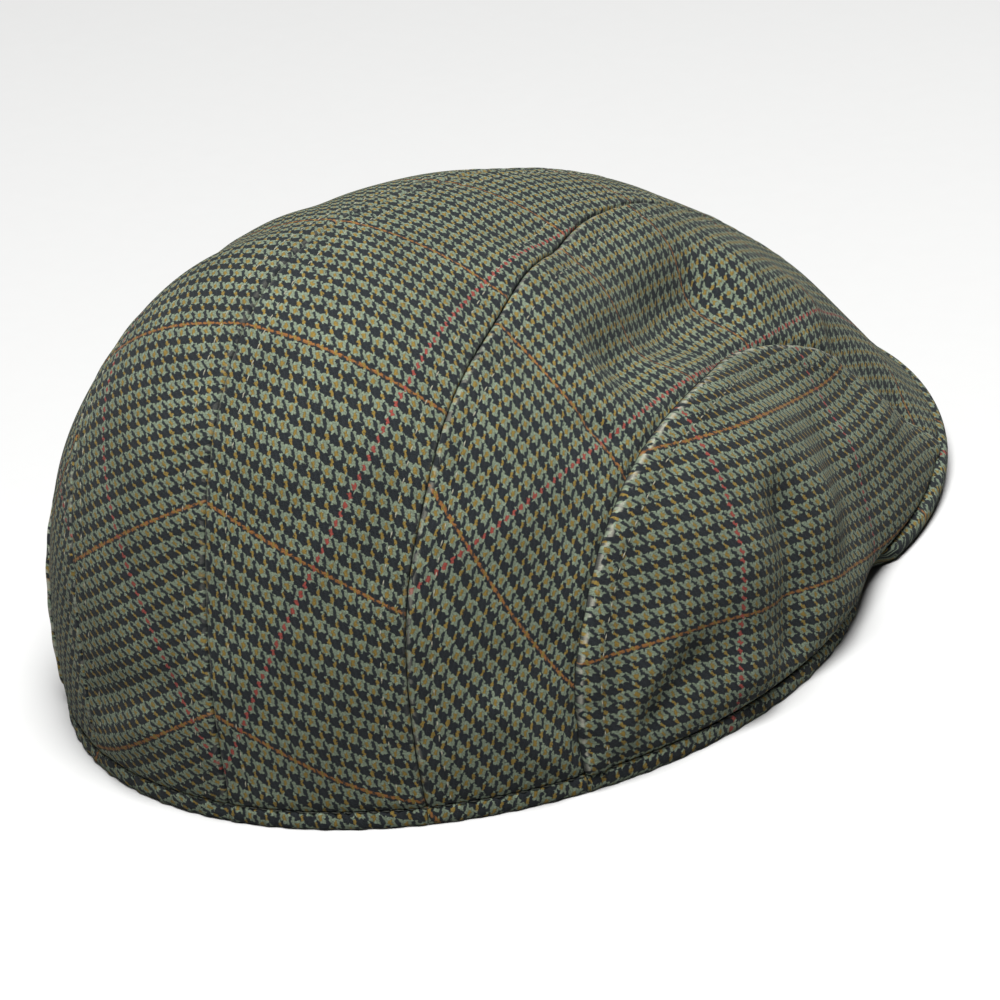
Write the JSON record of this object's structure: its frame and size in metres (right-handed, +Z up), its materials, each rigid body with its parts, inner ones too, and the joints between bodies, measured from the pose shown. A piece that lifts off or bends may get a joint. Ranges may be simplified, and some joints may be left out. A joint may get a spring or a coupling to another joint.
{
  "type": "flat cap",
  "caption": "Soft flat cap in small-check wool cloth: rounded panelled crown sewn down onto a short curved peak, standing on its turned hem.",
  "frame": {"origin": "on the ground, under the middle of the cap's box", "axes": "+Z up, the peak points to -Y, the wearer's left is +X"},
  "size_m": [0.1734, 0.2558, 0.109],
  "materials": {
    "check_cloth": "matt milled wool in a small dark check on olive and grey green, with thin red and rust lines",
    "hem_cloth": "the same cloth, turned and topstitched",
    "peak_cloth": "the same cloth over a stiff core"
  },
  "bodies": {
    "root": {"back_panel_left": "check_cloth", "back_panel_right": "check_cloth", "top_panel_left": "check_cloth", "top_panel_right": "check_cloth", "side_panel_left": "check_cloth", "side_panel_right": "check_cloth", "hem_band": "hem_cloth", "peak": "peak_cloth"}
  },
  "joints": []
}
